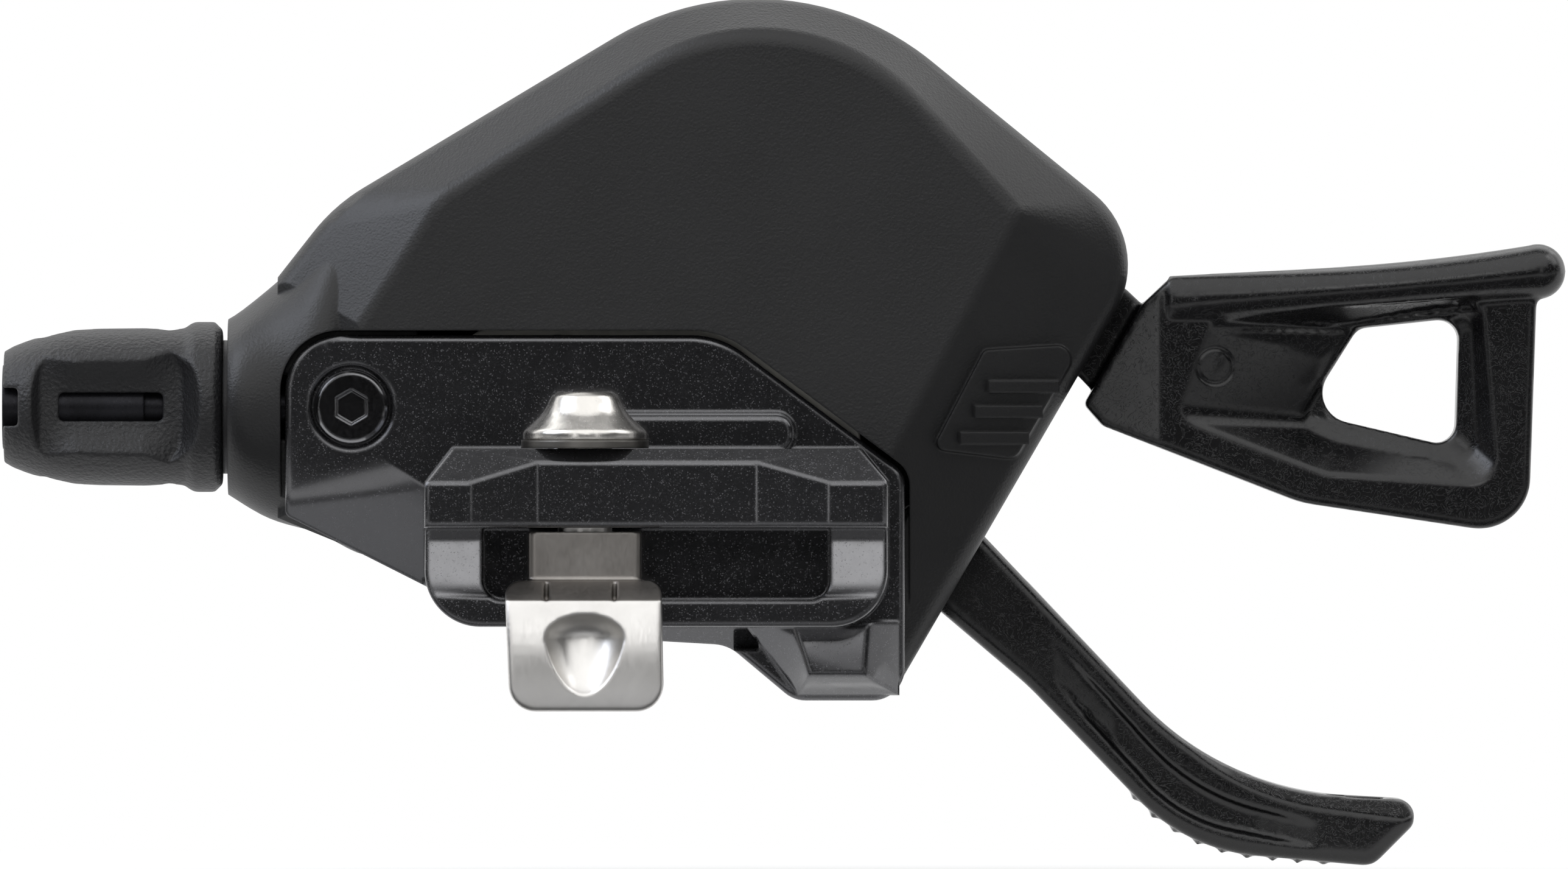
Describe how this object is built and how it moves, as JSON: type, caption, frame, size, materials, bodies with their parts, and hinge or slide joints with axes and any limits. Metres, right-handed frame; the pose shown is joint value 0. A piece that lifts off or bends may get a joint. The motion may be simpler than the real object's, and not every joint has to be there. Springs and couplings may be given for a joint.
{
  "type": "trigger gear shifter",
  "caption": "Handlebar trigger gear shifter with a domed housing, cable adjuster, thumb lever, finger release lever and a slotted clamp bracket.",
  "frame": {"origin": "on the clamp bolt's axis, at the top of the bracket's slotted bar", "axes": "+X along the handlebar from the cable adjuster to the levers, +Y away from the handlebar to the far cover, +Z forward along the clamp bolt towards its nut"},
  "size_m": [0.1157, 0.038, 0.0643],
  "materials": {
    "cover_plastic": "matte moulded grain",
    "lever_plastic": "semi-gloss fibre-filled moulding",
    "knob_plastic": "coarse moulded grain",
    "inner_plastic": "plain moulded",
    "bracket_paint": "gloss black with fine metallic flake",
    "clamp_metal": "satin",
    "dark_steel": "blackened",
    "plate_steel": "zinc plated",
    "spring_steel": "drawn wire",
    "insert_alloy": "as cast"
  },
  "bodies": {
    "housing": {"top_cover": "cover_plastic", "bottom_cover": "cover_plastic", "cover_screws": "dark_steel", "bracket": "bracket_paint", "bracket_screw": "dark_steel", "base_plate": "plate_steel", "latch_post": "plate_steel", "main_axle": "plate_steel", "axle_nut": "plate_steel", "lever_spacer": "inner_plastic", "adjuster_insert": "insert_alloy", "adjuster_spring": "spring_steel", "winder_spring": "spring_steel", "main_lever_spring": "spring_steel", "release_spring": "spring_steel"},
    "winder_body": {"winder": "inner_plastic", "ratchet_wheel": "plate_steel"},
    "main_lever_body": {"main_lever": "lever_plastic", "main_lever_plate": "plate_steel", "main_lever_rivets": "plate_steel", "feed_pawl_pin": "plate_steel"},
    "feed_pawl_body": {"feed_pawl": "plate_steel"},
    "latch_pawl_body": {"latch_pawl": "plate_steel"},
    "release_lever_body": {"release_lever": "lever_plastic", "release_plate": "plate_steel", "release_rivets": "plate_steel"},
    "adjuster_ring": {"click_ring": "inner_plastic"},
    "adjuster_body": {"adjuster_knob": "knob_plastic", "adjuster_bolt": "dark_steel"},
    "clamp_body": {"clamp_jaw": "clamp_metal", "clamp_bolt": "clamp_metal", "clamp_washer": "dark_steel", "cone_nut": "clamp_metal"}
  },
  "joints": [
    {"name": "main_lever_swing", "type": "hinge", "parent": "housing", "child": "main_lever_body", "pos_m": [0.0126, 0.0217, 0.0127], "axis": [0, -1, 0], "range_deg": [0, 45], "stiffness_Nm_per_rad": 0.02, "springref_deg": -34.38, "deforming": ["main_lever_spring"]},
    {"name": "release_lever_swing", "type": "hinge", "parent": "housing", "child": "release_lever_body", "pos_m": [0.0126, 0.018, 0.0127], "axis": [0, -1, 0], "range_deg": [-10, 8], "stiffness_Nm_per_rad": 0.3, "deforming": ["release_spring"]},
    {"name": "winder_turn", "type": "hinge", "parent": "housing", "child": "winder_body", "pos_m": [0.0126, 0.0135, 0.0127], "axis": [0, -1, 0], "range_deg": [0, 170], "stiffness_Nm_per_rad": 0.004, "springref_deg": -45.84, "deforming": ["winder_spring"]},
    {"name": "feed_pawl_swing", "type": "hinge", "parent": "main_lever_body", "child": "feed_pawl_body", "pos_m": [0.01664, 0.0157, 0.02777], "axis": [0, 1, 0], "range_deg": [0, 8], "stiffness_Nm_per_rad": 0.0005, "springref_deg": -17.19},
    {"name": "latch_pawl_swing", "type": "hinge", "parent": "housing", "child": "latch_pawl_body", "pos_m": [-0.00206, 0.0157, 0.00736], "axis": [0, 1, 0], "range_deg": [0, 8], "stiffness_Nm_per_rad": 0.0005, "springref_deg": -17.19},
    {"name": "adjuster_travel", "type": "slide", "parent": "housing", "child": "adjuster_ring", "axis": [-1, 0, 0], "range_m": [0, 0.0016], "deforming": ["adjuster_spring"]},
    {"name": "adjuster_turn", "type": "hinge", "parent": "adjuster_ring", "child": "adjuster_body", "pos_m": [-0.035, 0.0135, 0.0031], "axis": [-1, 0, 0], "range_deg": [-30, 750]},
    {"name": "clamp_slide", "type": "slide", "parent": "housing", "child": "clamp_body", "axis": [1, 0, 0], "range_m": [-0.0014, 0.0123]}
  ],
  "couplings": [
    {"joint": "adjuster_turn", "follows": "adjuster_travel", "rad_per_m": 7854}
  ]
}
